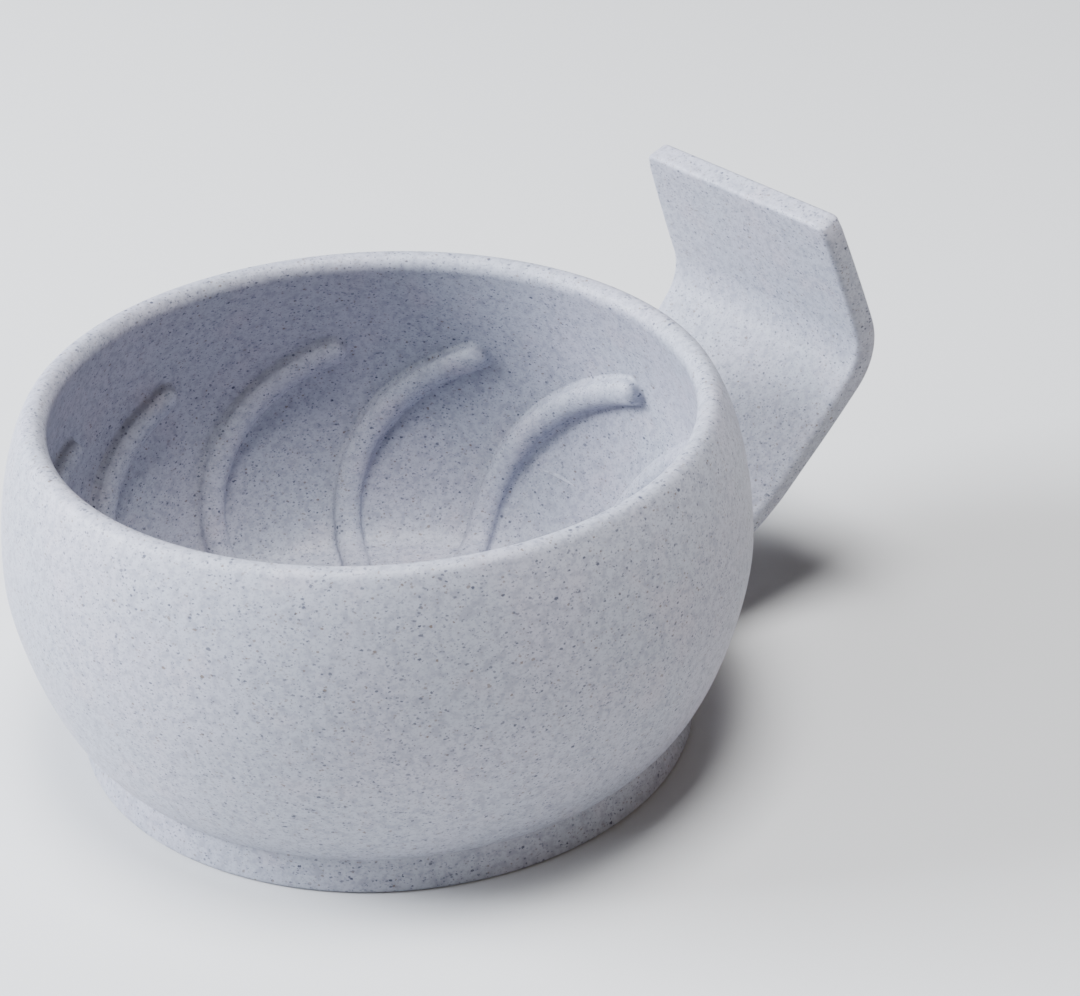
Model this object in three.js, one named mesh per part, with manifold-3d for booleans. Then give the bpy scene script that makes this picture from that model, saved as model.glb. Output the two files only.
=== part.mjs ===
/**
 * Shaving bowl: a round, barrel-sided lather bowl with a rolled lip, a standing foot ring, a bent
 * plate handle, and twelve raised ribs inside that run out over the floor, climb the wall and curl.
 *
 * Millimetres, +Z up. The foot ring stands on z = 0 and the handle points along +X. The origin is
 * under the middle of the whole object, so the bowl's own axis lies a little towards -X.
 */
import * as THREE from 'three';
import { mergeVertices } from 'three/addons/utils/BufferGeometryUtils.js';
import Module from 'manifold-3d';

const wasm = await Module();
wasm.setup();

const radians = THREE.MathUtils.degToRad;

// ---------------------------------------------------------------- driving dimensions

const JOINT_GAP = 0.3; // clearance between solids that touch on the real bowl
const OVERCUT = 1; // how far a cutting solid reaches past the one it cuts
const WELD_DISTANCE = 1e-4; // corners closer than this are one
const CURVE_HALVINGS = 30; // when a height is looked up along a curve
const SEGMENTS = { // straight pieces that each curve is cut into
  round: 72, // every turned piece; a multiple of the rib count
  outsideBelow: 8,
  outsideAbove: 7,
  lip: 8,
  insideAbove: 7,
  insideBelow: 10,
  handleArc: 7,
  handleSideBelow: 8,
  handleSideAbove: 5,
  handleCorner: 4,
  ribFloor: 4,
  ribCurl: 16,
  ribLength: 26,
  ribSection: 8,
  ribEnd: 3,
};

// Bowl wall. A "hold" is the length over which a curve keeps the direction of its end.
const BELLY_RADIUS = 60; // widest point of the outside
const BELLY_HEIGHT = 33.8;
const BOWL_HEIGHT = 59; // to the top of the lip
const WALL = 3.6;
const BASE_RADIUS = 48.4; // lower edge of the wall, just above the foot ring
const BASE_RISE = radians(25.6); // slope of the outside at that edge
const BASE_HOLD = 7.7;
const BELLY_HOLD_BELOW = 6.1;
const BELLY_HOLD_ABOVE = 7.9;
const SHOULDER_HOLD = 6.7; // of the outside where it runs into the lip
const LIP_CENTRE_RADIUS = 53; // circle that the rolled lip is centred on
const LIP_ROLL = 2.2; // radius of the roll
const LIP_START = radians(31); // place round the roll where the outside meets it
const LIP_END = radians(200); // and where the inside leaves it
const INNER_HOLD_BELOW = 11.2; // of the inside, below the belly
const FLOOR_HOLD = 6.4; // of the inside, where it leaves the floor
const FLOOR_RADIUS = 43; // flat part of the floor, before it turns up into the wall
const FLOOR_HEIGHT = 5;
const FLOOR_THICKNESS = 3.2;

// Foot ring
const FOOT_HEIGHT = 4.9;
const FOOT_TOP_RADIUS = 49.5;
const FOOT_BOTTOM_RADIUS = 50.7;
const FOOT_WIDTH = 4.4;
const FOOT_EDGE = 0.5; // chamfer round the standing edge

// Handle: a plate of even thickness, in the bowl's own radial plane
const HANDLE_THICKNESS = 4.4;
const HANDLE_BEND_RADIUS = 12.2; // outside of the bend
const HANDLE_REACH = 89.3; // from the bowl's axis to the outside of the bend
const HANDLE_BEND_HEIGHT = 47.3;
const HANDLE_LOWER_RISE = radians(46.7); // slope of the lower leaf
const HANDLE_UPPER_LEAN = radians(20.5); // of the upper leaf, from upright, back towards the bowl
const HANDLE_UPPER_LENGTH = 22.6; // straight part above the bend
const HANDLE_LOWER_LENGTH = 21; // straight part below the bend
const HANDLE_ROOT_RADIUS = 34; // middle of the plate where it flattens out to meet the wall
const HANDLE_ROOT_HALF_WIDTH = 20.6;
const HANDLE_ROOT_HOLD = 15;
const HANDLE_BEND_HALF_WIDTH = 23.5;
const HANDLE_BEND_HOLD_BELOW = 14;
const HANDLE_BEND_HOLD_ABOVE = 10.2;
const HANDLE_TOP_HALF_WIDTH = 21.9;
const HANDLE_CORNER = 2;

// Lather ribs: half-round beads, long and short ones in turn
const RIB_COUNT = 12;
const RIB_TURN = radians(2.3); // of the first rib from the handle's middle, anticlockwise
const RIB_HALF_WIDTH = 2.45;
const RIB_HEIGHT = 2.7;
const RIB_CURL_RISE = 37.5; // on the wall a rib follows part of an ellipse: its half height
const RIB_CURL_SWEEP = radians(50.5); // and its half width, as an angle round the axis
const RIB_KINDS = [ // where the inner end is rounded from, and how far round the ellipse it goes
  { tipRadius: 12.3, curlTurn: radians(62) },
  { tipRadius: 21.7, curlTurn: radians(66.5) },
];

// ---------------------------------------------------------------- sizes worked out from those

const AXIS_X = (BELLY_RADIUS - HANDLE_REACH) / 2;
const LIP_CENTRE_HEIGHT = BOWL_HEIGHT - LIP_ROLL;
const UNDERSIDE_HEIGHT = FLOOR_HEIGHT - FLOOR_THICKNESS;
const INNER_BELLY_RADIUS = BELLY_RADIUS - WALL;
const FOOT_INNER_RADIUS = FOOT_BOTTOM_RADIUS - FOOT_WIDTH;
const RIB_STEP = (2 * Math.PI) / RIB_COUNT;

/** The point at a distance from another, in a direction given as an angle from the first axis. */
function polar(origin, angle, length) {
  return new THREE.Vector2(
    origin.x + length * Math.cos(angle),
    origin.y + length * Math.sin(angle),
  );
}

// ---------------------------------------------------------------- turned outlines (radius, height)

const QUARTER_TURN = Math.PI / 2;
const lipCentre = new THREE.Vector2(LIP_CENTRE_RADIUS, LIP_CENTRE_HEIGHT);
const lipOutside = polar(lipCentre, LIP_START, LIP_ROLL);
const lipInside = polar(lipCentre, LIP_END, LIP_ROLL);
const baseEdge = new THREE.Vector2(BASE_RADIUS, FOOT_HEIGHT);
const belly = new THREE.Vector2(BELLY_RADIUS, BELLY_HEIGHT);
const innerBelly = new THREE.Vector2(INNER_BELLY_RADIUS, BELLY_HEIGHT);
const floorEdge = new THREE.Vector2(FLOOR_RADIUS, FLOOR_HEIGHT);

const outsideBelow = new THREE.CubicBezierCurve(
  baseEdge,
  polar(baseEdge, BASE_RISE, BASE_HOLD),
  polar(belly, -QUARTER_TURN, BELLY_HOLD_BELOW),
  belly,
);
const outsideAbove = new THREE.CubicBezierCurve(
  belly,
  polar(belly, QUARTER_TURN, BELLY_HOLD_ABOVE),
  polar(lipOutside, LIP_START - QUARTER_TURN, SHOULDER_HOLD),
  lipOutside,
);
const lipRoll = new THREE.EllipseCurve(
  lipCentre.x, lipCentre.y, LIP_ROLL, LIP_ROLL, LIP_START, LIP_END,
);
const insideAbove = new THREE.CubicBezierCurve(
  lipInside,
  polar(lipInside, LIP_END + QUARTER_TURN, BELLY_HOLD_ABOVE),
  polar(innerBelly, QUARTER_TURN, BELLY_HOLD_ABOVE),
  innerBelly,
);
const insideBelow = new THREE.CubicBezierCurve(
  innerBelly,
  polar(innerBelly, -QUARTER_TURN, INNER_HOLD_BELOW),
  polar(floorEdge, 0, FLOOR_HOLD),
  floorEdge,
);

/** Points along several curves in turn, without repeating the shared ends. */
function chain(...parts) {
  return parts.flatMap(([curve, steps], i) => curve.getPoints(steps).slice(i === 0 ? 0 : 1));
}

/** An open outline moved sideways by a distance, to the right of its direction of travel. */
function offsetOutline(points, distance) {
  return points.map((point, i) => {
    const before = points[Math.max(i - 1, 0)];
    const after = points[Math.min(i + 1, points.length - 1)];
    return polar(point, after.clone().sub(before).angle() - QUARTER_TURN, distance);
  });
}

const outside = chain(
  [outsideBelow, SEGMENTS.outsideBelow],
  [outsideAbove, SEGMENTS.outsideAbove],
);
const inside = chain(
  [insideAbove, SEGMENTS.insideAbove],
  [insideBelow, SEGMENTS.insideBelow],
);

/** A solid of revolution about +Z from an outline given anticlockwise as (radius, height). */
function turned(outline) {
  return new THREE.LatheGeometry(outline, SEGMENTS.round).rotateX(QUARTER_TURN);
}

const onAxis = (height) => new THREE.Vector2(0, height);

// ---------------------------------------------------------------- joining and cutting

/** A closed geometry as a solid that can be cut. */
function toSolid(geometry) {
  geometry.deleteAttribute('normal');
  geometry.deleteAttribute('uv');
  const welded = mergeVertices(geometry, WELD_DISTANCE);
  const corners = welded.index.array;
  const kept = [];
  for (let i = 0; i < corners.length; i += 3) {
    const [a, b, c] = corners.slice(i, i + 3);
    if (a !== b && b !== c && c !== a) kept.push(a, b, c);
  }
  return new wasm.Manifold(new wasm.Mesh({
    numProp: 3,
    vertProperties: Float32Array.from(welded.attributes.position.array),
    triVerts: Uint32Array.from(kept),
  }));
}

/** A cut solid as a geometry. */
function toGeometry(solid) {
  const { vertProperties, triVerts } = solid.getMesh();
  const geometry = new THREE.BufferGeometry();
  geometry.setAttribute('position', new THREE.BufferAttribute(vertProperties, 3));
  geometry.setIndex(new THREE.BufferAttribute(triVerts, 1));
  geometry.computeVertexNormals();
  return geometry;
}

// ---------------------------------------------------------------- bowl shell and foot ring

/** Wall, floor and lip in one turned shell, open at the top; the floor dips into the foot ring. */
function bowlShell() {
  const dipRadius = FOOT_INNER_RADIUS - JOINT_GAP;
  const dip = [UNDERSIDE_HEIGHT, FOOT_HEIGHT].map((height) => new THREE.Vector2(dipRadius, height));
  const lip = lipRoll.getPoints(SEGMENTS.lip).slice(1, -1);
  return turned([
    onAxis(UNDERSIDE_HEIGHT), ...dip, ...outside, ...lip, ...inside, onAxis(FLOOR_HEIGHT),
  ]);
}

/** The standing ring round the underside of the shell, slightly flared. */
function footRing() {
  const top = FOOT_HEIGHT - JOINT_GAP;
  const outline = [
    [FOOT_INNER_RADIUS + FOOT_EDGE, 0],
    [FOOT_BOTTOM_RADIUS - FOOT_EDGE, 0],
    [FOOT_BOTTOM_RADIUS, FOOT_EDGE],
    [FOOT_TOP_RADIUS, top],
    [FOOT_INNER_RADIUS, top],
    [FOOT_INNER_RADIUS, FOOT_EDGE],
    [FOOT_INNER_RADIUS + FOOT_EDGE, 0],
  ];
  return turned(outline.map(([radius, height]) => new THREE.Vector2(radius, height)));
}

// ---------------------------------------------------------------- handle

/** The plate's side outline (distance from the bowl's axis, height), root to top and back. */
function handleSide() {
  const bendCentre = new THREE.Vector2(HANDLE_REACH - HANDLE_BEND_RADIUS, HANDLE_BEND_HEIGHT);
  const lowerFacing = HANDLE_LOWER_RISE - QUARTER_TURN; // outward normal of the lower leaf
  const upperFacing = HANDLE_UPPER_LEAN; // outward normal of the upper leaf
  const middleRadius = HANDLE_BEND_RADIUS - HANDLE_THICKNESS / 2;
  const lowerEnd = polar(
    polar(bendCentre, lowerFacing, middleRadius), HANDLE_LOWER_RISE, -HANDLE_LOWER_LENGTH,
  );
  const rootCentre = polar(lowerEnd, lowerFacing, -HANDLE_ROOT_RADIUS);
  const shape = new THREE.Shape();
  const half = HANDLE_THICKNESS / 2;
  shape.absarc(
    rootCentre.x, rootCentre.y, HANDLE_ROOT_RADIUS + half, -QUARTER_TURN, lowerFacing, false,
  );
  shape.absarc(bendCentre.x, bendCentre.y, HANDLE_BEND_RADIUS, lowerFacing, upperFacing, false);
  for (const radius of [HANDLE_BEND_RADIUS, HANDLE_BEND_RADIUS - HANDLE_THICKNESS]) {
    const corner = polar(
      polar(bendCentre, upperFacing, radius), upperFacing + QUARTER_TURN, HANDLE_UPPER_LENGTH,
    );
    shape.lineTo(corner.x, corner.y);
  }
  shape.absarc(
    bendCentre.x, bendCentre.y, HANDLE_BEND_RADIUS - HANDLE_THICKNESS,
    upperFacing, lowerFacing, true,
  );
  shape.absarc(
    rootCentre.x, rootCentre.y, HANDLE_ROOT_RADIUS - half, lowerFacing, -QUARTER_TURN, true,
  );
  return shape;
}

/** The plate's front outline (sideways, height): waisted at the root, widest at the bend. */
function handleFront() {
  const top = HANDLE_BEND_HEIGHT
    + HANDLE_BEND_RADIUS * Math.sin(HANDLE_UPPER_LEAN)
    + HANDLE_UPPER_LENGTH * Math.cos(HANDLE_UPPER_LEAN);
  const below = new THREE.CubicBezierCurve(
    new THREE.Vector2(HANDLE_ROOT_HALF_WIDTH, FOOT_HEIGHT),
    new THREE.Vector2(HANDLE_ROOT_HALF_WIDTH, FOOT_HEIGHT + HANDLE_ROOT_HOLD),
    new THREE.Vector2(HANDLE_BEND_HALF_WIDTH, HANDLE_BEND_HEIGHT - HANDLE_BEND_HOLD_BELOW),
    new THREE.Vector2(HANDLE_BEND_HALF_WIDTH, HANDLE_BEND_HEIGHT),
  );
  const above = new THREE.QuadraticBezierCurve(
    new THREE.Vector2(HANDLE_BEND_HALF_WIDTH, HANDLE_BEND_HEIGHT),
    new THREE.Vector2(HANDLE_BEND_HALF_WIDTH, HANDLE_BEND_HEIGHT + HANDLE_BEND_HOLD_ABOVE),
    new THREE.Vector2(HANDLE_TOP_HALF_WIDTH, top - HANDLE_CORNER),
  );
  const corner = new THREE.EllipseCurve(
    HANDLE_TOP_HALF_WIDTH - HANDLE_CORNER, top - HANDLE_CORNER,
    HANDLE_CORNER, HANDLE_CORNER, 0, QUARTER_TURN,
  );
  const right = chain(
    [below, SEGMENTS.handleSideBelow],
    [above, SEGMENTS.handleSideAbove],
    [corner, SEGMENTS.handleCorner],
  );
  const left = right.map((point) => new THREE.Vector2(-point.x, point.y)).reverse();
  return new THREE.Shape([...right, ...left]);
}

/** The bent plate: its side outline cut to its front outline, and its root to the wall. */
function handle() {
  const width = 2 * (HANDLE_BEND_HALF_WIDTH + OVERCUT);
  const side = new THREE.ExtrudeGeometry(
    handleSide(), { depth: width, bevelEnabled: false, curveSegments: SEGMENTS.handleArc },
  );
  side.rotateX(QUARTER_TURN).translate(0, width / 2, 0);
  const front = new THREE.ExtrudeGeometry(
    handleFront(), { depth: HANDLE_REACH + OVERCUT, bevelEnabled: false },
  );
  front.applyMatrix4(new THREE.Matrix4().makeBasis(
    new THREE.Vector3(0, 1, 0), new THREE.Vector3(0, 0, 1), new THREE.Vector3(1, 0, 0),
  ));
  const clear = offsetOutline([...outside, lipCentre], JOINT_GAP);
  const body = turned([onAxis(FOOT_HEIGHT - OVERCUT), ...clear, onAxis(BOWL_HEIGHT)]);
  return toGeometry(toSolid(side).intersect(toSolid(front)).subtract(toSolid(body)));
}

// ---------------------------------------------------------------- lather ribs

/** How far along one of the inside's curves, which run downwards, it passes a height. */
function parameterAt(curve, height) {
  let [above, below] = [0, 1];
  for (let i = 0; i < CURVE_HALVINGS; i += 1) {
    const middle = (above + below) / 2;
    if (curve.getPoint(middle).y > height) above = middle;
    else below = middle;
  }
  return above;
}

/** A place on the inside, turned about the axis, as a function of the lift off the surface. */
function station(foot, facing, round) {
  return (lift) => {
    const raised = polar(foot, facing, lift);
    return new THREE.Vector3(raised.x * Math.cos(round), raised.x * Math.sin(round), raised.y);
  };
}

/** A station at a height on the wall. */
function wallStation(height, round) {
  const curve = height > BELLY_HEIGHT ? insideAbove : insideBelow;
  const t = parameterAt(curve, height);
  return station(curve.getPoint(t), curve.getTangent(t).angle() - QUARTER_TURN, round);
}

/** A rib's stations: straight out over the floor, then up the wall and round the curl. */
function ribStations({ tipRadius, curlTurn }) {
  const parts = (count) => Array.from({ length: count + 1 }, (_, i) => i / count);
  const overFloor = parts(SEGMENTS.ribFloor).slice(0, -1).map((part) => {
    const radius = THREE.MathUtils.lerp(tipRadius, FLOOR_RADIUS, part);
    return station(new THREE.Vector2(radius, FLOOR_HEIGHT), QUARTER_TURN, 0);
  });
  const upWall = parts(SEGMENTS.ribCurl).map((part) => {
    const turn = curlTurn * part ** 2; // closer together near the floor, where the wall is flattest
    return wallStation(
      FLOOR_HEIGHT + RIB_CURL_RISE * Math.sin(turn),
      -RIB_CURL_SWEEP * (1 - Math.cos(turn)),
    );
  });
  return [...overFloor, ...upWall];
}

/** A half-round bead with round ends: a straight capsule, flattened below and laid on the line. */
function latherRib(kind) {
  const stations = ribStations(kind);
  const [line, raised] = [0, 1].map((lift) => (
    new THREE.CatmullRomCurve3(stations.map((at) => at(lift)), false, 'centripetal')
  ));
  const length = line.getLength();
  const bead = new THREE.CapsuleGeometry(
    RIB_HALF_WIDTH, length, SEGMENTS.ribEnd, SEGMENTS.ribSection, SEGMENTS.ribLength,
  );
  const place = bead.getAttribute('position');
  for (let i = 0; i < place.count; i += 1) {
    const distance = place.getY(i) + length / 2;
    const reached = THREE.MathUtils.clamp(distance, 0, length);
    const t = line.getUtoTmapping(reached / length);
    const foot = line.getPoint(t);
    const up = raised.getPoint(t).sub(foot).normalize();
    const along = line.getTangent(t);
    const across = new THREE.Vector3().crossVectors(along, up);
    const lift = Math.max((place.getZ(i) * RIB_HEIGHT) / RIB_HALF_WIDTH, JOINT_GAP);
    foot.addScaledVector(along, distance - reached)
      .addScaledVector(across, place.getX(i))
      .addScaledVector(up, lift);
    place.setXYZ(i, foot.x, foot.y, foot.z);
  }
  bead.computeVertexNormals();
  return bead;
}

// ---------------------------------------------------------------- the object

/** A dull moulded plastic. */
function plastic(colour, roughness) {
  return new THREE.MeshStandardMaterial({ color: colour, roughness, metalness: 0 });
}

function piece(name, geometry, material) {
  const mesh = new THREE.Mesh(geometry, material);
  mesh.name = name;
  return mesh;
}

const bowl = new THREE.Group();
bowl.position.x = AXIS_X;
bowl.add(piece('bowl_shell', bowlShell(), plastic(0xaeb2bb, 0.62)));
bowl.add(piece('foot_ring', footRing(), plastic(0xa9adb6, 0.66)));
bowl.add(piece('handle', handle(), plastic(0xabafb8, 0.62)));

const ribShapes = RIB_KINDS.map(latherRib);
for (let i = 0; i < RIB_COUNT; i += 1) {
  const name = `lather_rib_${String(i + 1).padStart(2, '0')}`;
  const rib = piece(name, ribShapes[i % ribShapes.length], plastic(0xb1b5be, 0.6));
  rib.rotation.z = RIB_TURN + i * RIB_STEP;
  bowl.add(rib);
}

const shavingBowl = new THREE.Group();
shavingBowl.add(bowl);
export default shavingBowl;
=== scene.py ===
"""Looks of a shaving bowl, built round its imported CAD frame.

The bowl is one pale moulding full of fine dark specks: a turned shell with a rolled lip, a foot
ring, a bent plate handle and raised ribs inside. Each piece stands for one CAD node and takes its
place from that node's box. Sizes in the classes are millimetres; meshes are in metres. A hold is
how far a curve leans along the direction of its end, and sunk is how far a piece reaches into the
one that it grows out of.
"""

import logging
import math
from dataclasses import dataclass, field
from enum import Enum
from typing import Sequence, Union

import bpy
import numpy as np
from mathutils import Matrix, Vector


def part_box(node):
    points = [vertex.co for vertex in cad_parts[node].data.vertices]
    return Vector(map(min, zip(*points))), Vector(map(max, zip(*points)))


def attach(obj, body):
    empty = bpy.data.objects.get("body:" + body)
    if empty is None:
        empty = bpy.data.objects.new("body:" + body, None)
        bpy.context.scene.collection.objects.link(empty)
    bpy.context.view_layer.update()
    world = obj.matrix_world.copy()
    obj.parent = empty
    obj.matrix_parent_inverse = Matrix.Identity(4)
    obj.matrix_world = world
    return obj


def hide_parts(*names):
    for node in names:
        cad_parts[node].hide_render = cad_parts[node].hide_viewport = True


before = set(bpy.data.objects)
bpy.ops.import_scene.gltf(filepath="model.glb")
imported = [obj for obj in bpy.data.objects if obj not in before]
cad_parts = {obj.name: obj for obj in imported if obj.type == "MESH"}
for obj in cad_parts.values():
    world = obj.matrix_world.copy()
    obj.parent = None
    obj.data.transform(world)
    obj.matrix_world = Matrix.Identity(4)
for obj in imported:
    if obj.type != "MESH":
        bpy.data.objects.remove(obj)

LOG = logging.getLogger("shaving_bowl")
BODY = "root"
MM = 0.001
QUARTER = math.pi / 2
RIB_COUNT = 12


# ------------------------------------------------------------------ shader maths


@dataclass(frozen=True)
class Value:
    """A number that varies over a surface: one output socket that takes part in arithmetic."""

    graph: "Graph"
    socket: bpy.types.NodeSocket

    def math(self, operation: str, *others: "Number") -> "Value":
        """Adds one Math node.

        Args:
            operation: The Math node's operation.
            others: The numbers that come after this one.

        Returns:
            The node's answer.
        """
        inputs = dict(enumerate((self, *others)))
        return self.graph.value(self.graph.node("ShaderNodeMath", {"operation": operation}, inputs))

    def __add__(self, other: "Number") -> "Value":
        """This plus another."""
        return self.math("ADD", other)

    __radd__ = __add__

    def __mul__(self, other: "Number") -> "Value":
        """This times another."""
        return self.math("MULTIPLY", other)

    __rmul__ = __mul__

    def __sub__(self, other: "Number") -> "Value":
        """This less another."""
        return self.math("SUBTRACT", other)

    def __rsub__(self, other: float) -> "Value":
        """A plain number less this."""
        return self.math("MULTIPLY", -1.0) + other

    def ramp(self, low: float, high: float) -> "Value":
        """Rises smoothly from 0 at low to 1 at high; falls where low is above high.

        Args:
            low: Where the answer is 0.
            high: Where the answer is 1.

        Returns:
            The smoothed answer.
        """
        settings = {"interpolation_type": "SMOOTHSTEP"}
        inputs = {"Value": self, "From Min": low, "From Max": high}
        return self.graph.value(self.graph.node("ShaderNodeMapRange", settings, inputs))


Number = Union[Value, float]
Colour = tuple[float, float, float]
Link = Union[Value, bpy.types.NodeSocket, float, Sequence[float]]


class Graph:
    """The node tree of one material."""

    # a Mix node's colour sockets share their names with its other sockets, so they go by number
    MIX_FACTOR, MIX_FIRST, MIX_SECOND = 0, 6, 7
    MIX_COLOUR = 2

    def __init__(self, name: str) -> None:
        """Makes an empty material.

        Args:
            name: The material's name.
        """
        self.material = bpy.data.materials.new(name)
        self.material.use_nodes = True
        self.tree = self.material.node_tree
        self.tree.nodes.clear()

    def node(
        self, kind: str, settings: dict[str, object], inputs: dict[Union[str, int], Link]
    ) -> bpy.types.Node:
        """Adds a node of any type.

        Args:
            kind: The node's type.
            settings: Its own settings, which are made first.
            inputs: A number, colour or link for each named or numbered socket.

        Returns:
            The new node.
        """
        node = self.tree.nodes.new(kind)
        for name, setting in settings.items():
            setattr(node, name, setting)
        for key, given in inputs.items():
            given = given.socket if isinstance(given, Value) else given
            if isinstance(given, bpy.types.NodeSocket):
                self.tree.links.new(given, node.inputs[key])
            elif isinstance(given, (int, float)):
                node.inputs[key].default_value = given
            else:
                socket = node.inputs[key]
                missing = len(socket.default_value) - len(given)
                socket.default_value = (*given, *(1.0,) * missing)
        return node

    def value(self, node: bpy.types.Node, output: Union[str, int] = 0) -> Value:
        """One output of a node, as a value."""
        return Value(self, node.outputs[output])

    def mix(self, factor: Number, first: Link, second: Link) -> bpy.types.NodeSocket:
        """Mixes two colours.

        Args:
            factor: 0 for all of the first, 1 for all of the second.
            first: The first colour.
            second: The second colour.

        Returns:
            The mixed colour.
        """
        inputs = {self.MIX_FACTOR: factor, self.MIX_FIRST: first, self.MIX_SECOND: second}
        return self.node("ShaderNodeMix", {"data_type": "RGBA"}, inputs).outputs[self.MIX_COLOUR]

    def vector(self, operation: str, inputs: dict[Union[str, int], Link]) -> bpy.types.NodeSocket:
        """The vector that a Vector Math node gives."""
        return self.node("ShaderNodeVectorMath", {"operation": operation}, inputs).outputs[0]

    def shade(self, inputs: dict[Union[str, int], Link]) -> None:
        """Ends the material in a Principled BSDF with these inputs."""
        shader = self.node("ShaderNodeBsdfPrincipled", {}, inputs)
        self.node("ShaderNodeOutputMaterial", {}, {"Surface": shader.outputs[0]})

    def noise(self, place: Link, scale: float, detail: float = 2.0) -> bpy.types.Node:
        """Adds a Noise Texture.

        Args:
            place: The point, in millimetres.
            scale: Features per millimetre.
            detail: How many finer layers it has.

        Returns:
            The node.
        """
        inputs = {"Vector": place, "Scale": scale, "Detail": detail}
        return self.node("ShaderNodeTexNoise", {}, inputs)


@dataclass(frozen=True)
class Specks:
    """One size of dark fleck scattered through a plastic.

    Attributes:
        spacing: Distance between possible flecks.
        radius: Radius of the largest fleck.
        share: How many of the possible places hold one.
        strength: How far a fleck covers the plastic round it.
        faintest: Strength of the faintest fleck, as a share of the strongest.
        smallest: Radius of the smallest fleck, as a share of the largest.
        softness: Width of a fleck's soft edge, as a share of the largest radius.
    """

    spacing: float
    radius: float
    share: float
    strength: float
    faintest: float = 0.4
    smallest: float = 0.5
    softness: float = 0.35

    def mask(self, graph: Graph, place: Link) -> Value:
        """Where the flecks are.

        Args:
            graph: The material's tree.
            place: The point, in millimetres.

        Returns:
            0 on bare plastic, up to the strength in the middle of a fleck.
        """
        inputs = {"Vector": place, "Scale": 1.0 / self.spacing}
        cells = graph.node("ShaderNodeTexVoronoi", {}, inputs)
        channels = graph.node("ShaderNodeSeparateColor", {}, {"Color": cells.outputs["Color"]})
        present = graph.value(channels, "Red").math("GREATER_THAN", 1.0 - self.share)
        darkness = graph.value(channels, "Green") * (1.0 - self.faintest) + self.faintest
        reach = graph.value(channels, "Blue") * (1.0 - self.smallest) + self.smallest
        distance = graph.value(cells, "Distance") * self.spacing
        closeness = (reach * self.radius - distance) * (1.0 / self.radius)
        return closeness.ramp(0.0, self.softness) * present * darkness * self.strength


@dataclass(frozen=True)
class Mottle:
    """One layer of soft patches.

    Attributes:
        scale: Patches per millimetre.
        detail: How many finer layers it has.
        low: Noise below this leaves the plastic as it is.
        high: Noise above this shows the layer in full.
        strength: How far the layer covers what is under it.
    """

    scale: float
    detail: float
    low: float
    high: float
    strength: float = 1.0

    def mask(self, graph: Graph, place: Link) -> Value:
        """Where the layer shows, from 0 up to its strength."""
        noise = graph.value(graph.noise(place, self.scale, self.detail))
        return noise.ramp(self.low, self.high) * self.strength


class Surface(Enum):
    """How a face of the moulding came off its tool, as the strength of its grain."""

    SMOOTH = 0.6
    STANDING = 1.0


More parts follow.
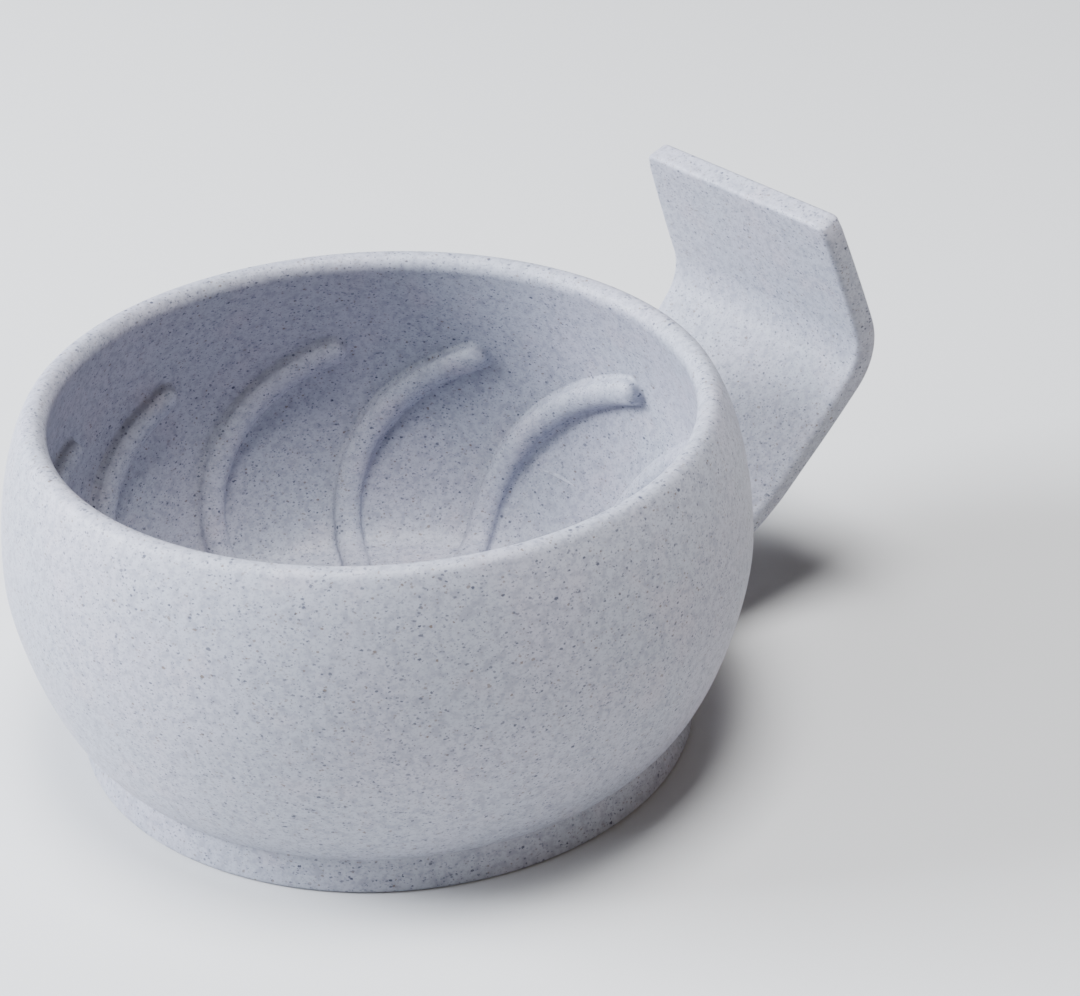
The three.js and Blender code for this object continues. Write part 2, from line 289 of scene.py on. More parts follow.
@dataclass(frozen=True)
class SpeckledPlastic:
    """Pale blue-grey moulded plastic with straw fibres ground into it.

    Lengths are in millimetres, and scales are features per millimetre.
    """

    slot: str = "speckled_plastic"
    cool: Colour = (0.375, 0.392, 0.458)
    lilac: Colour = (0.392, 0.393, 0.463)
    blush: Colour = (0.425, 0.396, 0.455)
    haze: Colour = (0.225, 0.235, 0.290)
    fleck: Colour = (0.060, 0.065, 0.100)
    brown_fleck: Colour = (0.150, 0.115, 0.095)
    lilac_patches: Mottle = Mottle(scale=0.045, detail=1.0, low=0.35, high=0.65)
    blush_patches: Mottle = Mottle(scale=0.11, detail=1.0, low=0.55, high=0.75, strength=0.55)
    haze_clouds: Mottle = Mottle(scale=0.75, detail=3.0, low=0.40, high=0.72, strength=0.62)
    haze_dust: Mottle = Mottle(scale=2.0, detail=2.0, low=0.45, high=0.75, strength=0.60)
    brown_zones: Mottle = Mottle(scale=0.5, detail=0.0, low=0.55, high=0.62)
    specks: tuple[Specks, ...] = (
        Specks(spacing=2.0, radius=0.42, share=0.75, strength=1.0),
        Specks(spacing=1.05, radius=0.33, share=0.90, strength=0.92),
        Specks(spacing=0.66, radius=0.25, share=0.92, strength=0.75),
    )
    squash: tuple[float, float, float] = (1.0, 1.0, 1.35)
    wobble_scale: float = 2.6
    wobble_reach: tuple[float, float, float] = (0.60, 0.60, 0.40)
    grain_scale: float = 3.2
    grain_detail: float = 3.0
    grain_depth: float = 0.012
    grain_roughness: float = 0.18
    swell_scale: float = 0.16
    swell_depth: float = 0.05
    fleck_depth: float = 0.006
    fleck_gloss: float = 0.08
    roughness: float = 0.52
    specular: float = 0.42

    def material(self, surface: Surface) -> bpy.types.Material:
        """Builds the finish.

        Args:
            surface: How strongly the tool's grain shows.

        Returns:
            The material.
        """
        graph = Graph(f"{self.slot}_{surface.name.lower()}")
        where = graph.node("ShaderNodeTexCoord", {}, {})
        place = graph.vector("SCALE", {0: where.outputs["Object"], "Scale": 1.0 / MM})
        flecks, colour = self._colour(graph, place)
        grain = graph.value(graph.noise(place, self.grain_scale, self.grain_detail))
        swell = graph.value(graph.noise(place, self.swell_scale, 1.0))
        height = grain * self.grain_depth + swell * self.swell_depth - flecks * self.fleck_depth
        inputs = {"Strength": surface.value, "Distance": MM, "Height": height}
        bump = graph.node("ShaderNodeBump", {}, inputs)
        centred = grain - 0.5
        rough = centred * self.grain_roughness + self.roughness - flecks * self.fleck_gloss
        graph.shade(
            {
                "Base Color": colour,
                "Roughness": rough,
                "Normal": bump.outputs[0],
                "Specular IOR Level": self.specular,
            }
        )
        return graph.material

    def _colour(self, graph: Graph, place: Link) -> tuple[Value, bpy.types.NodeSocket]:
        """Mixes the plastic's patches and flecks.

        Args:
            graph: The material's tree.
            place: The point, in millimetres.

        Returns:
            Where the flecks are, and the colour.
        """
        squat = graph.vector("MULTIPLY", {0: place, 1: self.squash})
        wobble = graph.noise(place, self.wobble_scale).outputs["Color"]
        shifted = graph.vector("MULTIPLY_ADD", {0: wobble, 1: self.wobble_reach, 2: squat})
        base = graph.mix(self.lilac_patches.mask(graph, place), self.cool, self.lilac)
        base = graph.mix(self.blush_patches.mask(graph, place), base, self.blush)
        base = graph.mix(self.haze_clouds.mask(graph, place), base, self.haze)
        base = graph.mix(self.haze_dust.mask(graph, squat), base, self.haze)
        flecks = self.specks[0].mask(graph, shifted)
        for size in self.specks[1:]:
            flecks = flecks.math("MAXIMUM", size.mask(graph, shifted))
        brown = self.brown_zones.mask(graph, place)
        fleck = graph.mix(brown, self.fleck, self.brown_fleck)
        return flecks, graph.mix(flecks, base, fleck)


# ------------------------------------------------------------------ outlines


def polar(origin: Sequence[float], angle: float, length: float) -> np.ndarray:
    """The point at a length from another, in a direction given as an angle."""
    return np.array(origin) + length * np.array([math.cos(angle), math.sin(angle)])


def arc(
    centre: Sequence[float], radius: float, start: float, end: float, steps: int
) -> np.ndarray:
    """Points along a circular arc.

    Args:
        centre: Its middle.
        radius: Its radius.
        start: Angle of the first point.
        end: Angle of the last point.
        steps: How many pieces it is cut into.

    Returns:
        The points, one a row.
    """
    turn = np.linspace(start, end, steps + 1)
    return np.array(centre) + radius * np.column_stack([np.cos(turn), np.sin(turn)])


def cubic(points: Sequence[Sequence[float]], steps: int) -> np.ndarray:
    """Points along a cubic curve.

    Args:
        points: Its two ends, with the two points that it leans towards between them.
        steps: How many pieces it is cut into.

    Returns:
        The points, one a row.
    """
    part = np.linspace(0.0, 1.0, steps + 1)[:, None]
    a, b, c, d = (np.array(point, float) for point in points)
    near = (1 - part) ** 3 * a + 3 * (1 - part) ** 2 * part * b
    return near + 3 * (1 - part) * part**2 * c + part**3 * d


def joined(*outlines: np.ndarray) -> np.ndarray:
    """Several outlines end to end, without repeating the ends they share."""
    return np.concatenate([outlines[0], *(outline[1:] for outline in outlines[1:])])


def unit(vectors: np.ndarray) -> np.ndarray:
    """Vectors, one a row, brought to a length of 1."""
    return vectors / np.linalg.norm(vectors, axis=1)[:, None]


def travelled(points: np.ndarray) -> np.ndarray:
    """The length gone at each of a line's points."""
    return np.concatenate([[0.0], np.cumsum(np.linalg.norm(np.diff(points, axis=0), axis=1))])


# ------------------------------------------------------------------ meshes


@dataclass
class Draft:
    """Points and faces of a piece being built, in millimetres from the bowl's axis."""

    points: list[np.ndarray] = field(default_factory=list)
    faces: list[tuple[int, ...]] = field(default_factory=list)

    def add(self, points: np.ndarray) -> int:
        """Adds points.

        Args:
            points: The points, one a row.

        Returns:
            The number of the first one.
        """
        first = sum(len(block) for block in self.points)
        self.points.append(points)
        return first

    def grid(self, points: np.ndarray, closed: bool = False, flip: bool = False) -> np.ndarray:
        """Adds a sheet of quads over rows of points.

        Args:
            points: Rows by columns by three.
            closed: Whether the last column joins the first.
            flip: Whether the faces look the other way.

        Returns:
            The number of each point, rows by columns.
        """
        rows, columns = points.shape[:2]
        first = self.add(points.reshape(-1, 3))
        index = first + np.arange(rows * columns).reshape(rows, columns)
        self.skin(index, closed, flip)
        return index

    def skin(self, index: np.ndarray, closed: bool = False, flip: bool = False) -> None:
        """Lays quads over rows of points that are already there.

        Args:
            index: The number of each point, rows by columns.
            closed: Whether the last column joins the first.
            flip: Whether the faces look the other way.
        """
        after = np.roll(index, -1, axis=1)
        if not closed:
            index, after = index[:, :-1], after[:, :-1]
        quads = np.stack([index[:-1], after[:-1], after[1:], index[1:]], axis=-1).reshape(-1, 4)
        if flip:
            quads = quads[:, ::-1]
        self.faces += [tuple(quad) for quad in quads.tolist()]

    def fan(self, ring: np.ndarray, middle: np.ndarray, flip: bool = False) -> None:
        """Closes a ring with triangles to one point.

        Args:
            ring: The numbers of the ring's points, in order.
            middle: The point they meet at.
            flip: Whether the faces look the other way.
        """
        centre = self.add(middle.reshape(1, 3))
        for a, b in zip(ring.tolist(), np.roll(ring, -1).tolist()):
            self.faces.append((a, centre, b) if flip else (a, b, centre))

    def piece(self, name: str, axis: Vector, crease: float = 40.0) -> bpy.types.Object:
        """Makes the object.

        Args:
            name: Its name.
            axis: Where the bowl's axis stands, in metres.
            crease: Edges sharper than this, in degrees, are shaded as edges.

        Returns:
            The new object.
        """
        mesh = bpy.data.meshes.new(name)
        placed = np.vstack(self.points) * MM + np.array(axis)
        mesh.from_pydata(placed.tolist(), [], self.faces)
        mesh.validate()
        mesh.shade_smooth()
        mesh.set_sharp_from_angle(angle=math.radians(crease))
        made = bpy.data.objects.new(name, mesh)
        bpy.context.scene.collection.objects.link(made)
        return made


def turned(draft: Draft, outline: np.ndarray, steps: int) -> None:
    """Turns an outline about the bowl's axis.

    Args:
        draft: Where the faces go.
        outline: (radius, height) points, with the outside on their right as they are followed. It
            is a closed loop, or starts and ends on the axis.
        steps: How many faces go round.
    """
    is_loop = np.allclose(outline[0], outline[-1])
    body = outline[:-1] if is_loop else outline[1:-1]
    turn = np.linspace(0.0, 2 * math.pi, steps, endpoint=False)
    radius, height = body[:, 0, None], np.repeat(body[:, 1, None], steps, axis=1)
    points = np.stack([radius * np.cos(turn), radius * np.sin(turn), height], axis=-1)
    index = draft.grid(points, closed=True)
    if is_loop:
        draft.skin(np.vstack([index[-1], index[0]]), closed=True)
    else:
        draft.fan(index[0], np.array([0.0, 0.0, outline[0, 1]]), flip=True)
        draft.fan(index[-1], np.array([0.0, 0.0, outline[-1, 1]]))


def dressed(
    made: bpy.types.Object, node: str, skin: bpy.types.Material
) -> None:
    """Gives a piece its finish, and puts it in the place of its CAD node.

    Args:
        made: The piece.
        node: The CAD node it stands for.
        skin: That finish's material.
    """
    made.data.materials.append(skin)
    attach(made, BODY)
    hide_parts(node)
    LOG.info("%s: %d faces, for %s", made.name, len(made.data.polygons), node)


# ------------------------------------------------------------------ bowl


@dataclass
class Bowl:
    """Wall, floor and rolled lip: one turned shell, open at the top."""

    node: str = "bowl_shell"
    wall: float = 3.6
    base_radius: float = 48.4
    base_height: float = 4.9
    base_rise: float = math.radians(25.6)
    base_hold: float = 7.7
    belly_height: float = 33.8
    belly_hold_below: float = 6.1
    belly_hold_above: float = 7.9
    shoulder_hold: float = 6.7
    lip_centre_radius: float = 53.0
    lip_roll: float = 2.2
    lip_start: float = math.radians(31)
    lip_end: float = math.radians(200)
    floor_radius: float = 43.0
    floor_thickness: float = 3.2
    floor_hold_out: float = 6.4
    inner_hold_down: float = 11.2
    dip_radius: float = 46.6
    round_steps: int = 288
    base_steps: int = 48
    shoulder_steps: int = 40
    inner_steps: int = 64
    roll_steps: int = 28
    flat_points: int = 16

    def __post_init__(self) -> None:
        """Reads the main sizes from the CAD node's box."""
        low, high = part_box(self.node)
        self.axis = Vector(((low.x + high.x) / 2, (low.y + high.y) / 2, 0.0))
        self.belly_radius = (high.x - low.x) / 2 / MM
        self.underside_height = low.z / MM
        self.floor_height = self.underside_height + self.floor_thickness
        self.lip_centre = np.array([self.lip_centre_radius, high.z / MM - self.lip_roll])
        self.outside = self._outside()
        self.inside = self._inside()

    def _outside(self) -> np.ndarray:
        """The outside, from the base up to the lip.

        Returns:
            Its (radius, height) points.
        """
        shoulder = polar(self.lip_centre, self.lip_start, self.lip_roll)
        base = (self.base_radius, self.base_height)
        belly = (self.belly_radius, self.belly_height)
        from_base = polar(base, self.base_rise, self.base_hold)
        under_belly = polar(belly, -QUARTER, self.belly_hold_below)
        over_belly = polar(belly, QUARTER, self.belly_hold_above)
        to_lip = polar(shoulder, self.lip_start - QUARTER, self.shoulder_hold)
        return joined(
            cubic([base, from_base, under_belly, belly], self.base_steps),
            cubic([belly, over_belly, to_lip, shoulder], self.shoulder_steps),
        )

    def _inside(self) -> np.ndarray:
        """The inside, from the lip down to the edge of the flat floor.

        Returns:
            Its (radius, height) points.
        """
        edge = polar(self.lip_centre, self.lip_end, self.lip_roll)
        inner = (self.belly_radius - self.wall, self.belly_height)
        floor = (self.floor_radius, self.floor_height)
        from_lip = polar(edge, self.lip_end + QUARTER, self.belly_hold_above)
        over_belly = polar(inner, QUARTER, self.belly_hold_above)
        under_belly = polar(inner, -QUARTER, self.inner_hold_down)
        to_floor = polar(floor, 0.0, self.floor_hold_out)
        return joined(
            cubic([edge, from_lip, over_belly, inner], self.shoulder_steps),
            cubic([inner, under_belly, to_floor, floor], self.inner_steps),
        )

    def _outline(self) -> np.ndarray:
        """The whole half section, from the axis under the floor round to the axis above it.

        Returns:
            Its (radius, height) points.
        """
        roll = arc(self.lip_centre, self.lip_roll, self.lip_start, self.lip_end, self.roll_steps)
        dip = (self.dip_radius, self.underside_height)
        under = np.linspace((0.0, self.underside_height), dip, self.flat_points)
        step = np.array([dip, (self.dip_radius, self.base_height), self.outside[0]])
        rim = (self.floor_radius, self.floor_height)
        floor = np.linspace(rim, (0.0, self.floor_height), self.flat_points)
        return joined(under, step, self.outside, roll, self.inside, floor)

    def build(self) -> bpy.types.Object:
        """Turns the shell."""
        draft = Draft()
        turned(draft, self._outline(), self.round_steps)
        return draft.piece("bowl_wall", self.axis)

    def outer_radius(self, height: np.ndarray) -> np.ndarray:
        """Radius of the outside at each height."""
        return np.interp(height, self.outside[:, 1], self.outside[:, 0])

    def outer_height(self, radius: float) -> float:
        """Height of the outside, below the belly, at a radius."""
        below = self.outside[self.outside[:, 1] < self.belly_height]
        return float(np.interp(radius, below[:, 0], below[:, 1]))

    def inner_surface(self, points: np.ndarray) -> tuple[np.ndarray, np.ndarray]:
        """The nearest place on the inside to each of some points.

        Args:
            points: The points, one a row.

        Returns:
            The places, and the surface's direction into the hollow at each.
        """
        line = np.vstack([self.inside, [0.0, self.floor_height]])
        flat = np.column_stack([np.hypot(points[:, 0], points[:, 1]), points[:, 2]])
        start, along = line[:-1], np.diff(line, axis=0)
        share = ((flat[:, None] - start) * along).sum(2) / (along**2).sum(1)
        share = np.clip(share, 0.0, 1.0)
        near = start + share[..., None] * along
        best = ((flat[:, None] - near) ** 2).sum(2).argmin(1)
        row = np.arange(len(points))
        place = near[row, best]
        mix = share[row, best][:, None]
        tangents = unit(np.gradient(line, axis=0))
        tangent = unit(tangents[best] * (1 - mix) + tangents[best + 1] * mix)
        facing = np.column_stack([tangent[:, 1], -tangent[:, 0]])
        angle = np.arctan2(points[:, 1], points[:, 0])
        across = np.column_stack([np.cos(angle), np.sin(angle)])
        return (
            np.column_stack([place[:, :1] * across, place[:, 1]]),
            np.column_stack([facing[:, :1] * across, facing[:, 1]]),
        )

    def raised(self, origin: np.ndarray, direction: np.ndarray, profile: np.ndarray) -> np.ndarray:
        """Stands a section on the inside.

        Args:
            origin: The point it is centred on.
            direction: The way its sideways distances run.
            profile: Its (sideways, height) points.

        Returns:
            The points, one a row.
        """
        place, facing = self.inner_surface(origin + direction * profile[:, 0, None])
        return place + facing * profile[:, 1, None]


# ------------------------------------------------------------------ foot ring


@dataclass
class FootRing:
    """The low flared ring that the bowl stands on, blended into the wall above it."""

    node: str = "foot_ring"
    top_radius: float = 49.5
    width: float = 4.4
    standing_round: float = 0.7
    fillet: float = 0.9
    sunk: float = 0.5
    edge_steps: int = 8
    blend_steps: int = 10

    def _outline(self, bowl: Bowl) -> np.ndarray:
        """The ring's section.

        Args:
            bowl: The shell that stands on it.

        Returns:
            Its (radius, height) points, from the inside edge of the foot round to that edge.
        """
        low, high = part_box(self.node)
        outer = (high.x - low.x) / 2 / MM
        inner = outer - self.width
        edge = self.standing_round
        radius = self.top_radius + self.fillet
        height = bowl.outer_height(radius) - self.fillet / math.cos(bowl.base_rise)
        rise = QUARTER + bowl.base_rise
        blend = arc((radius, height), self.fillet, math.pi, rise, self.blend_steps)
        hidden = np.array(
            [
                blend[-1],
                blend[-1] + (-self.sunk, self.sunk),
                (bowl.base_radius, bowl.base_height + self.sunk),
                (inner, bowl.base_height - self.sunk),
                (inner, edge),
            ]
        )
        return joined(
            arc((inner + edge, edge), edge, math.pi, 3 * QUARTER, self.edge_steps),
            np.array([[inner + edge, 0.0], [outer - edge, 0.0]]),
            arc((outer - edge, edge), edge, -QUARTER, 0.0, self.edge_steps),
            np.array([[outer, edge], blend[0]]),
            blend,
            hidden,
        )

    def build(self, bowl: Bowl) -> bpy.types.Object:
        """Turns the ring; its top runs up into the shell.

        Args:
            bowl: The shell that stands on it.

        Returns:
            The piece.
        """
        draft = Draft()
        turned(draft, self._outline(bowl), bowl.round_steps)
        return draft.piece("foot", bowl.axis)


# ------------------------------------------------------------------ handle


@dataclass(frozen=True)
class Spine:
    """The handle's middle line, from inside the bowl up to the top end.

    Attributes:
        line: Its (distance from the bowl's axis, height) points.
        facing: The outward direction at each, as an angle.
        travelled: The length gone at each.
    """

    line: np.ndarray
    facing: np.ndarray
    travelled: np.ndarray

    @property
    def length(self) -> float:
        """The whole length."""
        return float(self.travelled[-1])

    def at(self, gone: np.ndarray) -> tuple[np.ndarray, np.ndarray, np.ndarray]:
        """Distance from the axis, height and outward direction at lengths along the line."""
        distance, height = (np.interp(gone, self.travelled, row) for row in self.line.T)
        return distance, height, np.interp(gone, self.travelled, self.facing)


@dataclass(frozen=True)
class Station:
    """A place along the handle where a ring of points goes round the plate.

    Attributes:
        share: How far along it is, 0 to 1.
        inset: How far the ring shrinks towards the middle of the plate.
        rounds_end: Whether it is on the rounded top end, where the share is of the whole line;
            elsewhere it is of the stretch outside the wall.
    """

    share: float
    inset: float = 0.0
    rounds_end: bool = False


@dataclass
class Handle:
    """A plate that leaves the wall low down, climbs outwards, and bends back up over itself."""

    node: str = "handle"
    thickness: float = 4.4
    bend_radius: float = 12.2
    bend_height: float = 47.3
    lower_rise: float = math.radians(46.7)
    upper_lean: float = math.radians(20.5)
    upper_length: float = 22.6
    lower_length: float = 21.0
    root_radius: float = 34.0
    root_half_width: float = 20.6
    root_height: float = 4.9
    root_hold: float = 15.0
    bend_hold_below: float = 14.0
    bend_hold_above: float = 10.2
    top_half_width: float = 21.9
    corner: float = 2.0
    corner_share: float = 0.55
    inner_round: float = 1.1
    outer_round: float = 0.9
    root_outer_round: float = 1.8
    root_round_share: float = 0.45
    sharpest_round: float = 0.02
    end_round: float = 0.9
    sunk: float = 1.1
    fillet: float = 1.6
    spare_width: float = 2.0
    root_share: float = 0.14
    plate_share: float = 0.96
    root_rings: int = 25
    plate_rings: int = 90
    end_rings: int = 9
    curve_steps: int = 59
    straight_steps: int = 39
    outline_steps: int = 40
    top_steps: int = 30
    start_steps: int = 60
    face_points: int = 25
    edge_steps: int = 6
    width_passes: int = 3

    def __post_init__(self) -> None:
        """Reads the main sizes from the CAD node's box."""
        _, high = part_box(self.node)
        self.end = high.x
        self.bend_half_width = high.y / MM
        self.top = high.z / MM
        self.side_line = self._side_line()

    def _spine(self, reach: float) -> Spine:
        """The plate's middle line, root to top.

        Args:
            reach: From the bowl's axis to the outside of the bend.

        Returns:
            The line.
        """
        bend = np.array([reach - self.bend_radius, self.bend_height])
        lower, upper = self.lower_rise - QUARTER, self.upper_lean
        middle = self.bend_radius - self.thickness / 2
        bend_start = polar(bend, lower, middle)
        lower_start = polar(bend_start, self.lower_rise, -self.lower_length)
        root = polar(lower_start, lower, -self.root_radius)
        top_start = polar(bend, upper, middle)
        top_end = polar(top_start, upper + QUARTER, self.upper_length)
        curve, straight = self.curve_steps, self.straight_steps
        line = joined(
            arc(root, self.root_radius, -QUARTER, lower, curve),
            np.linspace(lower_start, bend_start, straight + 1),
            arc(bend, middle, lower, upper, curve),
            np.linspace(top_start, top_end, straight + 1),
        )
        facing = joined(
            np.linspace(-QUARTER, lower, curve + 1),
            np.full(straight + 1, lower),
            np.linspace(lower, upper, curve + 1),
            np.full(straight + 1, upper),
        )
        return Spine(line, facing, travelled(line))

    def _side_line(self) -> np.ndarray:
        """The plate's side as seen from the front.

        Returns:
            Its (half width, height) points, from the root up.
        """
        root, wide = self.root_half_width, self.bend_half_width
        bend = np.array([wide, self.bend_height])
        lower = [
            (root, self.root_height),
            (root, self.root_height + self.root_hold),
            (wide, self.bend_height - self.bend_hold_below),
            bend,
        ]
        lean = np.array([wide, self.bend_height + self.bend_hold_above])
        end = np.array([self.top_half_width, self.top])
        upper = [bend, (bend + 2 * lean) / 3, (end + 2 * lean) / 3, end]
        return joined(cubic(lower, self.outline_steps), cubic(upper, self.top_steps))

    def _stations(self, length: float) -> list[Station]:
        """Where the rings go.

        Args:
            length: The middle line's length.

        Returns:
            The stations, from inside the wall to the rounded top end.
        """
        root = np.linspace(0.0, self.root_share, self.root_rings + 1)[:-1]
        plate = np.linspace(self.root_share, self.plate_share, self.plate_rings)
        stations = [Station(share) for share in np.concatenate([root, plate])]
        for turn in np.linspace(0.0, QUARTER, self.end_rings):
            share = (length - self.end_round * (1 - math.sin(turn))) / length
            stations.append(Station(share, self.end_round * (1 - math.cos(turn)), True))
        return stations

    def build(self, bowl: Bowl) -> bpy.types.Object:
        """Lofts the plate from inside the wall to its top end.

        Args:
            bowl: The shell it grows out of.

        Returns:
            The piece.
        """
        spine = self._spine((self.end - bowl.axis.x) / MM)
        distance, height = spine.line.T
        across = np.linspace(0.0, self.bend_half_width + self.spare_width, self.start_steps)
        depth = np.hypot(distance, across[:, None]) - bowl.outer_radius(height)
        starts = np.array([np.interp(-self.sunk, row, spine.travelled) for row in depth])
        leaves = np.column_stack([across, starts])
        rings = [
            self._section(bowl, spine, leaves, station) for station in self._stations(spine.length)
        ]
        draft = Draft()
        index = draft.grid(np.stack(rings), closed=True)
        buried = rings[0].mean(0)
        buried[0] = bowl.outer_radius(buried[2]) - self.sunk
        draft.fan(index[0], buried, flip=True)
        draft.fan(index[-1], rings[-1].mean(0))
        return draft.piece("handle_plate", bowl.axis, crease=50.0)

    def _section(
        self, bowl: Bowl, spine: Spine, leaves: np.ndarray, station: Station
    ) -> np.ndarray:
        """One closed ring round the plate.

        Args:
            bowl: The shell it grows out of.
            spine: The plate's middle line.
            leaves: (distance from the plate's middle, length along the spine) points where the
                plate leaves the wall.
            station: Where the ring goes.

        Returns:
            The ring's points, one a row.
        """
        side, face, slip, dip, out_side, out_face = self._ring(station).T
        half = self.thickness / 2
        half_width = np.full(len(side), (self.root_half_width + self.bend_half_width) / 2)
        begin = np.zeros(len(side))
        for _ in range(self.width_passes):
            if not station.rounds_end:
                begin = np.interp(np.abs(side * half_width), *leaves.T)
            gone = begin + (spine.length - begin) * station.share
            distance, height, angle = spine.at(gone)
            level = height + face * half * np.sin(angle)
            half_width = np.interp(level, self.side_line[:, 1], self.side_line[:, 0])
        trim = np.clip(gone - (spine.length - self.corner), 0.0, self.corner)
        cut = self.corner - np.sqrt(self.corner**2 - trim**2)
        half_width = half_width - np.minimum(cut, self.corner * self.corner_share)
        ahead = np.column_stack([np.cos(angle), np.zeros(len(side)), np.sin(angle)])
        y = side * (half_width - station.inset) + slip
        lift = face * (half - station.inset) + dip
        ring = np.column_stack([distance, y, height]) + lift[:, None] * ahead
        gap = np.hypot(ring[:, 0], ring[:, 1]) - bowl.outer_radius(ring[:, 2])
        open_part = self.fillet - np.clip(gap, 0.0, self.fillet)
        flare = self.fillet - np.sqrt(self.fillet**2 - open_part**2)
        outward = out_face[:, None] * ahead
        outward[:, 1] = out_side
        return ring + flare[:, None] * outward

    def _ring(self, station: Station) -> np.ndarray:
        """The plate's cross-section.

        Args:
            station: Where the ring goes.

        Returns:
            For each point: its side (-1 to 1) and face (-1 inner, 1 outer), its offset from that
            corner sideways and through the plate, and its outward direction in the same order.
        """
        past_root = min(1.0, station.share / self.root_round_share)
        root, outer = self.root_outer_round, self.outer_round
        rounds = {1.0: root + (outer - root) * past_root, -1.0: self.inner_round}
        turns = np.linspace(0.0, QUARTER, self.edge_steps + 1)
        blocks: list[np.ndarray] = []
        for face, full_round in rounds.items():
            radius = max(full_round - station.inset, self.sharpest_round)
            flat = np.linspace(-face, face, self.face_points)
            level, same = np.zeros(len(flat)), np.full(len(flat), face)
            blocks += [
                self._edge(-face, face, radius, turns[:-1]),
                np.column_stack([flat, same, -flat * radius, level, level, same]),
                self._edge(face, face, radius, turns[::-1][1:]),
            ]
        return np.vstack(blocks)

    @staticmethod
    def _edge(side: float, face: float, radius: float, turns: np.ndarray) -> np.ndarray:
        """One rounded edge of the cross-section.

        Args:
            side: -1 or 1, the side it is on.
            face: -1 or 1, the face it is on.
            radius: Its radius.
            turns: How far each point has turned from the side towards the face.

        Returns:
            Rows as in the cross-section.
        """
        across, through = side * np.cos(turns), face * np.sin(turns)
        slip, dip = radius * (across - side), radius * (through - face)
        same = np.ones(len(turns))
        return np.column_stack([side * same, face * same, slip, dip, across, through])


# ------------------------------------------------------------------ ribs


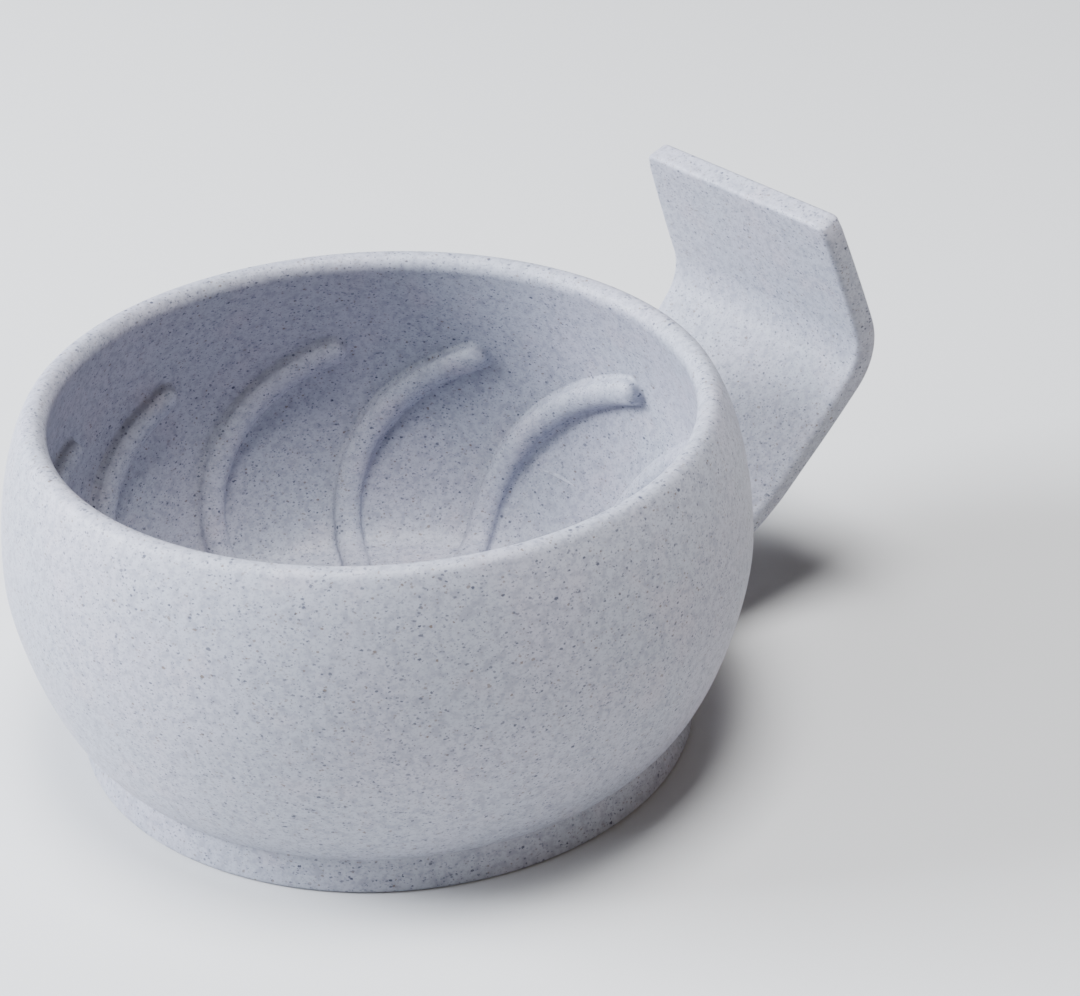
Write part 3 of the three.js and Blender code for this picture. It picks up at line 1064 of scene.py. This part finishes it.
@dataclass
class LatherRib:
    """A raised bead: straight out over the floor, up the wall, and round in a curl."""

    number: int
    half_width: float = 2.45
    height: float = 2.7
    root_fillet: float = 1.0
    turn: float = math.radians(2.3)
    curl_rise: float = 37.5
    curl_sweep: float = math.radians(50.5)
    curl_turn_long: float = math.radians(62)
    curl_turn_short: float = math.radians(66.5)
    sunk: float = 0.05
    straight_points: int = 40
    curl_points: int = 200
    rings: int = 150
    crest_steps: int = 12
    fillet_steps: int = 6
    cap_steps: int = 18

    @property
    def node(self) -> str:
        """The CAD node it stands for."""
        return f"lather_rib_{self.number:02d}"

    @property
    def is_long(self) -> bool:
        """Whether it is one of those that reach further in over the floor."""
        return self.number % 2 == 1

    def _tip_radius(self, bowl: Bowl) -> float:
        """Where its inner end is rounded from.

        The box of a rib that lies along X or Y starts at the rib's tip, so it is read from the
        long rib and the short rib that do.

        Args:
            bowl: The shell it stands on.

        Returns:
            The distance from the bowl's axis.
        """
        low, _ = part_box("lather_rib_01" if self.is_long else "lather_rib_04")
        inner = (low.x - bowl.axis.x) if self.is_long else low.y
        return (inner / MM + self.half_width) / math.cos(self.turn)

    def _line(self, bowl: Bowl) -> np.ndarray:
        """The rib's middle line on the inside of the bowl.

        Args:
            bowl: The shell it stands on.

        Returns:
            Closely and evenly spaced points, one a row.
        """
        inside = bowl.inside[::-1]
        tip = np.array([self._tip_radius(bowl), 0.0, bowl.floor_height])
        edge = np.array([bowl.floor_radius, 0.0, bowl.floor_height])
        end = self.curl_turn_long if self.is_long else self.curl_turn_short
        turn = end * np.linspace(0.0, 1.0, self.curl_points) ** 2
        height = bowl.floor_height + self.curl_rise * np.sin(turn)
        swing = -self.curl_sweep * (1 - np.cos(turn))
        radius = np.interp(height, inside[:, 1], inside[:, 0])
        curl = np.column_stack([radius * np.cos(swing), radius * np.sin(swing), height])
        path = joined(np.linspace(tip, edge, self.straight_points), curl)
        gone = travelled(path)
        even = np.linspace(0.0, gone[-1], self.rings)
        return np.column_stack([np.interp(even, gone, column) for column in path.T])

    def _half_section(self) -> np.ndarray:
        """Half the bead's section, from crest to wall.

        Returns:
            Its (sideways, height) points.
        """
        fillet, steps = self.root_fillet, self.fillet_steps
        crest = arc((0.0, 0.0), 1.0, QUARTER, 0.0, self.crest_steps)
        crest = crest * (self.half_width, self.height - fillet) + (0.0, fillet)
        foot = arc((self.half_width + fillet, fillet), fillet, math.pi, 3 * QUARTER, steps)
        return joined(crest, foot - np.linspace(0.0, self.sunk, steps + 1)[:, None] * (0.0, 1.0))

    def build(self, bowl: Bowl) -> bpy.types.Object:
        """Lays the bead on the inside of the bowl.

        Args:
            bowl: The shell it stands on.

        Returns:
            The piece.
        """
        line = self._line(bowl)
        along = unit(np.gradient(line, axis=0))
        across = unit(np.cross(along, bowl.inner_surface(line)[1]))
        half = self._half_section()
        section = np.vstack([half[::-1] * (-1.0, 1.0), half[1:]])
        draft = Draft()
        rings = [bowl.raised(point, way, section) for point, way in zip(line, across)]
        index = draft.grid(np.stack(rings))
        for end, ahead in ((0, -along[0]), (-1, along[-1])):
            turns = np.linspace(0.0, math.pi, self.cap_steps + 1)[1:-1]
            ways = [across[end] * math.cos(turn) + ahead * math.sin(turn) for turn in turns]
            cap = np.stack([bowl.raised(line[end], way, half) for way in ways])
            self._close(draft, index[end], cap, flip=end == 0)
        around = self.turn + (self.number - 1) * 2 * math.pi / RIB_COUNT
        rotation = np.array(Matrix.Rotation(around, 3, "Z"))
        draft.points = [block @ rotation.T for block in draft.points]
        return draft.piece(f"bead_{self.number:02d}", bowl.axis, crease=80.0)

    @staticmethod
    def _close(draft: Draft, ring: np.ndarray, cap: np.ndarray, flip: bool) -> None:
        """Rounds off one end of the bead.

        Args:
            draft: The bead's faces.
            ring: The numbers of the end section's points.
            cap: Half sections in turn round the end, each from crest to wall.
            flip: Whether the faces look the other way.
        """
        crest = len(ring) // 2
        turns, points = cap.shape[0], cap.shape[1] - 1
        start = draft.add(cap[:, 1:].reshape(-1, 3))
        block = start + np.arange(turns * points).reshape(turns, points)
        fan = np.vstack([ring[crest + 1 :], block, ring[:crest][::-1]])
        draft.skin(fan, flip=flip)
        centre = int(ring[crest])
        for a, b in zip(fan[:-1, 0].tolist(), fan[1:, 0].tolist()):
            draft.faces.append((centre, a, b) if flip else (centre, b, a))


# ------------------------------------------------------------------ studio


@dataclass(frozen=True)
class Lamp:
    """One soft square lamp aimed at the bowl, in metres and watts."""

    name: str
    place: tuple[float, float, float]
    width: float
    power: float
    colour: Colour

    def hang(self, target: Vector) -> None:
        """Adds the lamp.

        Args:
            target: The point it is aimed at.
        """
        light = bpy.data.lights.new(self.name, "AREA")
        light.size = self.width
        light.energy = self.power
        light.color = self.colour
        made = bpy.data.objects.new(self.name, light)
        made.location = self.place
        aim = target - Vector(self.place)
        made.rotation_euler = aim.to_track_quat("-Z", "Y").to_euler()
        bpy.context.scene.collection.objects.link(made)


@dataclass(frozen=True)
class Studio:
    """Pale floor, soft light and the camera; places are in metres, the floor in millimetres."""

    lens: float = 87.917
    place: tuple[float, float, float] = (-0.22585, -0.30162, 0.24920)
    target: tuple[float, float, float] = (0.009238, -0.011576, 0.035867)
    roll: float = math.radians(-1.2925)
    lamps: tuple[Lamp, ...] = (
        Lamp("key", (-0.744, 0.624, 0.546), 0.5, 42.0, (0.87, 0.92, 1.0)),
        Lamp("side", (-0.839, 0.073, 0.737), 0.6, 5.0, (0.87, 0.92, 1.0)),
        Lamp("top", (-0.06, -0.02, 1.22), 0.5, 27.0, (0.97, 0.98, 1.0)),
        Lamp("fill", (0.564, -0.977, 0.440), 0.8, 2.6, (1.0, 0.86, 0.74)),
    )
    lamp_target: tuple[float, float, float] = (0.0, 0.0, 0.03)
    ambient: float = 0.02
    ambient_colour: Colour = (0.95, 0.97, 1.0)
    floor_reach: float = 4000.0
    floor_colour: Colour = (0.60, 0.60, 0.60)
    floor_roughness: float = 0.8

    def build_floor(self) -> None:
        """Lays a wide, flat, pale floor."""
        draft = Draft()
        ends = np.array([-self.floor_reach, self.floor_reach])
        y, x = np.meshgrid(ends, ends, indexing="ij")
        draft.grid(np.stack([x, y, np.zeros_like(x)], axis=-1))
        floor = draft.piece("studio_floor", Vector((0.0, 0.0, 0.0)))
        graph = Graph("studio_floor")
        graph.shade({"Base Color": self.floor_colour, "Roughness": self.floor_roughness})
        floor.data.materials.append(graph.material)

    def build_lights(self) -> None:
        """Hangs the lamps and sets the even light from all round."""
        for lamp in self.lamps:
            lamp.hang(Vector(self.lamp_target))
        world = bpy.data.worlds.new("studio")
        world.use_nodes = True
        background = world.node_tree.nodes["Background"]
        background.inputs["Color"].default_value = (*self.ambient_colour, 1.0)
        background.inputs["Strength"].default_value = self.ambient
        bpy.context.scene.world = world

    def build_camera(self) -> None:
        """Places the camera."""
        camera = bpy.data.cameras.new("camera")
        camera.lens = self.lens
        made = bpy.data.objects.new("camera", camera)
        ahead = (Vector(self.target) - Vector(self.place)).normalized()
        level = ahead.cross(Vector((0.0, 0.0, 1.0))).normalized()
        upright = level.cross(ahead)
        right = level * math.cos(self.roll) + upright * math.sin(self.roll)
        axes = Matrix((right, right.cross(ahead), -ahead)).transposed()
        made.matrix_world = Matrix.LocRotScale(Vector(self.place), axes, None)
        bpy.context.scene.collection.objects.link(made)
        bpy.context.scene.camera = made


def main() -> None:
    """Builds the bowl round its frame, then the studio."""
    logging.basicConfig(level=logging.INFO, format="%(message)s")
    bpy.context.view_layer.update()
    finish = SpeckledPlastic()
    smooth = finish.material(Surface.SMOOTH)
    bowl = Bowl()
    dressed(bowl.build(), bowl.node, smooth)
    foot = FootRing()
    dressed(foot.build(bowl), foot.node, finish.material(Surface.STANDING))
    handle = Handle()
    dressed(handle.build(bowl), handle.node, smooth)
    for number in range(1, RIB_COUNT + 1):
        rib = LatherRib(number)
        dressed(rib.build(bowl), rib.node, smooth)
    studio = Studio()
    studio.build_floor()
    studio.build_lights()
    studio.build_camera()


if __name__ == "__main__":
    main()
